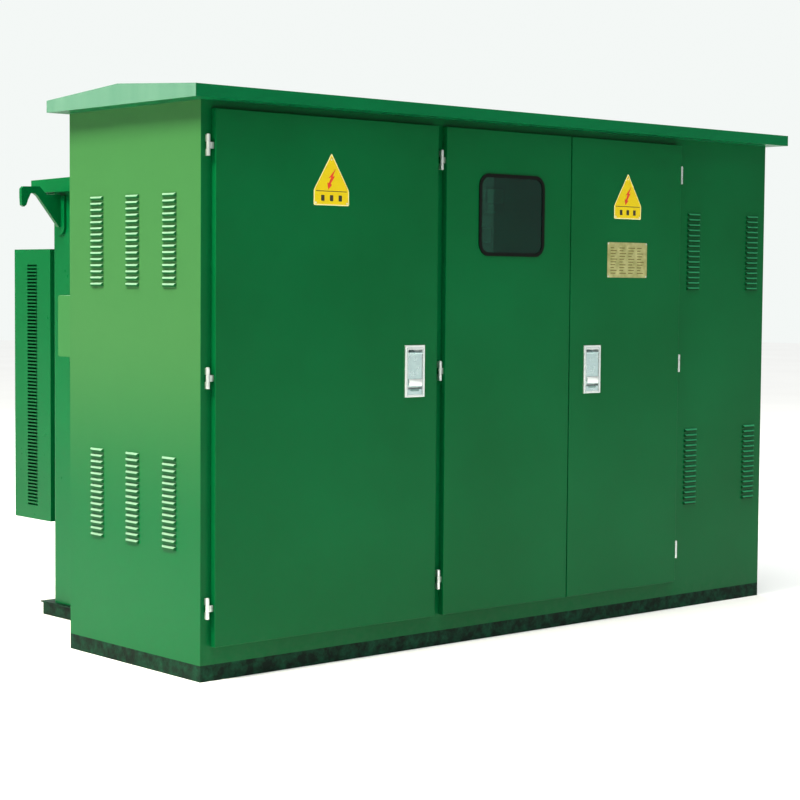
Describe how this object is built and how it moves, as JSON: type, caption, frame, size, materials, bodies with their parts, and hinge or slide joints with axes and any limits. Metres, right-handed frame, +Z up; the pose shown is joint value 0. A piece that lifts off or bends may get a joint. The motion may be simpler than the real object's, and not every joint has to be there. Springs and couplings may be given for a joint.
{
  "type": "pad-mounted transformer",
  "caption": "Pad-mounted transformer: louvred cable cabinet with hinged doors in front of an oil tank with lid, lifting hooks and guarded radiators.",
  "frame": {"origin": "middle of the footprint, on the pad", "axes": "+X along the cabinet front to the right, +Y from the doors towards the radiators, +Z up"},
  "size_m": [2.842, 1.68, 1.846],
  "materials": {
    "green_paint": "semi-gloss polyester powder coat",
    "plinth_paint": "rough brushed anti-corrosion paint",
    "zinc_plate": "bright zinc plate",
    "lock_chrome": "satin chrome",
    "seal_rubber": "EPDM",
    "window_glass": "tinted safety glass",
    "sign_yellow": "screen-printed enamel",
    "plate_brass": "etched",
    "core_steel": "laminated silicon steel",
    "clamp_paint": "oil-proof primer",
    "winding_foil": "paper-wrapped",
    "bushing_epoxy": "moulded epoxy",
    "bushing_porcelain": "brown glaze",
    "busbar_metal": "bare bar",
    "breaker_case": "moulded",
    "toggle_plastic": "moulded",
    "fuse_plastic": "moulded",
    "switch_steel": "stainless",
    "gauge_case": "cast",
    "valve_brass": "machined",
    "handwheel_iron": "enamelled",
    "panel_grey": "powder coat"
  },
  "bodies": {
    "enclosure": {"base_frame": "plinth_paint", "compartment_partition": "green_paint", "core": "core_steel", "core_clamps": "clamp_paint", "door_frame": "green_paint", "door_seals": "seal_rubber", "drain_valve": "valve_brass", "front_louvre_panel": "green_paint", "fuse_holders": "fuse_plastic", "hinge_frame_leaves": "zinc_plate", "hinge_pins": "zinc_plate", "hv_bushings": "bushing_epoxy", "hv_coils": "winding_foil", "instrument_panel": "panel_grey", "left_side_panel": "green_paint", "lid_bolts": "zinc_plate", "lifting_hooks": "green_paint", "lv_breaker": "breaker_case", "lv_busbars": "busbar_metal", "lv_bushings": "bushing_porcelain", "lv_coils": "winding_foil", "radiator_guards": "green_paint", "radiators": "green_paint", "rear_panels": "green_paint", "relief_valve": "valve_brass", "right_side_panel": "green_paint", "roof": "green_paint", "tank_gauges": "gauge_case", "tank_lid": "green_paint", "tank_shell": "green_paint", "tank_skid": "plinth_paint", "terminal_box": "green_paint"},
    "hv_door_leaf": {"hv_door": "green_paint", "hv_door_hinges": "zinc_plate", "hv_lock_case": "lock_chrome", "hv_warning_plate": "sign_yellow"},
    "lv_left_leaf": {"lv_left_door": "green_paint", "lv_left_door_hinges": "zinc_plate", "window_gasket": "seal_rubber", "window_glass": "window_glass"},
    "lv_right_leaf": {"lv_right_door": "green_paint", "lv_right_door_hinges": "zinc_plate", "lv_lock_case": "lock_chrome", "lv_warning_plate": "sign_yellow", "nameplate": "plate_brass"},
    "hv_paddle_body": {"hv_paddle": "lock_chrome"},
    "hv_latch_button_body": {"hv_latch_button": "lock_chrome"},
    "hv_latch_rod_body": {"hv_latch_rod": "zinc_plate"},
    "lv_paddle_body": {"lv_paddle": "lock_chrome"},
    "lv_latch_button_body": {"lv_latch_button": "lock_chrome"},
    "lv_latch_rod_body": {"lv_latch_rod": "zinc_plate"},
    "upper_flush_bolt_body": {"upper_flush_bolt": "zinc_plate"},
    "lower_flush_bolt_body": {"lower_flush_bolt": "zinc_plate"},
    "load_switch_handle_body": {"load_switch_handle": "switch_steel"},
    "tap_changer_knob_body": {"tap_changer_knob": "switch_steel"},
    "fuse_pull_a_body": {"fuse_pull_a": "fuse_plastic"},
    "fuse_pull_b_body": {"fuse_pull_b": "fuse_plastic"},
    "fuse_pull_c_body": {"fuse_pull_c": "fuse_plastic"},
    "drain_handwheel_body": {"drain_handwheel": "handwheel_iron"},
    "breaker_toggle_body": {"breaker_toggle": "toggle_plastic"}
  },
  "joints": [
    {"name": "hv_door_swing", "type": "hinge", "parent": "enclosure", "child": "hv_door_leaf", "pos_m": [-1.329, -0.777, 0.936], "axis": [0, 0, -1], "range_deg": [0, 120]},
    {"name": "lv_left_door_swing", "type": "hinge", "parent": "enclosure", "child": "lv_left_leaf", "pos_m": [-0.367, -0.777, 0.936], "axis": [0, 0, -1], "range_deg": [0, 110]},
    {"name": "lv_right_door_swing", "type": "hinge", "parent": "enclosure", "child": "lv_right_leaf", "pos_m": [0.859, -0.777, 0.936], "axis": [0, 0, 1], "range_deg": [0, 120]},
    {"name": "hv_paddle_lift", "type": "hinge", "parent": "hv_door_leaf", "child": "hv_paddle_body", "pos_m": [-0.4945, -0.7895, 0.999], "axis": [-1, 0, 0], "range_deg": [0, 40]},
    {"name": "hv_latch_rod_slide", "type": "slide", "parent": "hv_door_leaf", "child": "hv_latch_rod_body", "axis": [0, 0, -1], "range_m": [0, 0.02465]},
    {"name": "hv_latch_button_press", "type": "slide", "parent": "hv_door_leaf", "child": "hv_latch_button_body", "axis": [0, 1, 0], "range_m": [0, 0.004], "stiffness_N_per_m": 400},
    {"name": "lv_paddle_lift", "type": "hinge", "parent": "lv_right_leaf", "child": "lv_paddle_body", "pos_m": [0.3665, -0.7895, 0.986], "axis": [-1, 0, 0], "range_deg": [0, 40]},
    {"name": "lv_latch_rod_slide", "type": "slide", "parent": "lv_right_leaf", "child": "lv_latch_rod_body", "axis": [0, 0, -1], "range_m": [0, 0.02465]},
    {"name": "lv_latch_button_press", "type": "slide", "parent": "lv_right_leaf", "child": "lv_latch_button_body", "axis": [0, 1, 0], "range_m": [0, 0.004], "stiffness_N_per_m": 400},
    {"name": "upper_flush_bolt_slide", "type": "slide", "parent": "lv_left_leaf", "child": "upper_flush_bolt_body", "axis": [0, 0, -1], "range_m": [0, 0.025]},
    {"name": "lower_flush_bolt_slide", "type": "slide", "parent": "lv_left_leaf", "child": "lower_flush_bolt_body", "axis": [0, 0, 1], "range_m": [0, 0.025]},
    {"name": "load_switch_turn", "type": "hinge", "parent": "enclosure", "child": "load_switch_handle_body", "pos_m": [-0.9, -0.0533, 1.215], "axis": [0, 1, 0], "range_deg": [0, 90]},
    {"name": "tap_changer_turn", "type": "hinge", "parent": "enclosure", "child": "tap_changer_knob_body", "pos_m": [-0.64, -0.0533, 1.215], "axis": [0, 1, 0], "range_deg": [0, 120]},
    {"name": "fuse_a_pull", "type": "slide", "parent": "enclosure", "child": "fuse_pull_a_body", "axis": [0, -1, 0], "range_m": [0, 0.22]},
    {"name": "fuse_b_pull", "type": "slide", "parent": "enclosure", "child": "fuse_pull_b_body", "axis": [0, -1, 0], "range_m": [0, 0.22]},
    {"name": "fuse_c_pull", "type": "slide", "parent": "enclosure", "child": "fuse_pull_c_body", "axis": [0, -1, 0], "range_m": [0, 0.22]},
    {"name": "drain_handwheel_turn", "type": "hinge", "parent": "enclosure", "child": "drain_handwheel_body", "pos_m": [-0.5, -0.137, 0.18], "axis": [0, -1, 0], "range_deg": [0, 720]},
    {"name": "breaker_toggle_throw", "type": "hinge", "parent": "enclosure", "child": "breaker_toggle_body", "pos_m": [0.2, -0.325, 0.68], "axis": [1, 0, 0], "range_deg": [0, 50]}
  ],
  "couplings": [
    {"joint": "hv_latch_rod_slide", "follows": "hv_paddle_lift", "m_per_rad": 0.035273},
    {"joint": "lv_latch_rod_slide", "follows": "lv_paddle_lift", "m_per_rad": 0.035273}
  ]
}
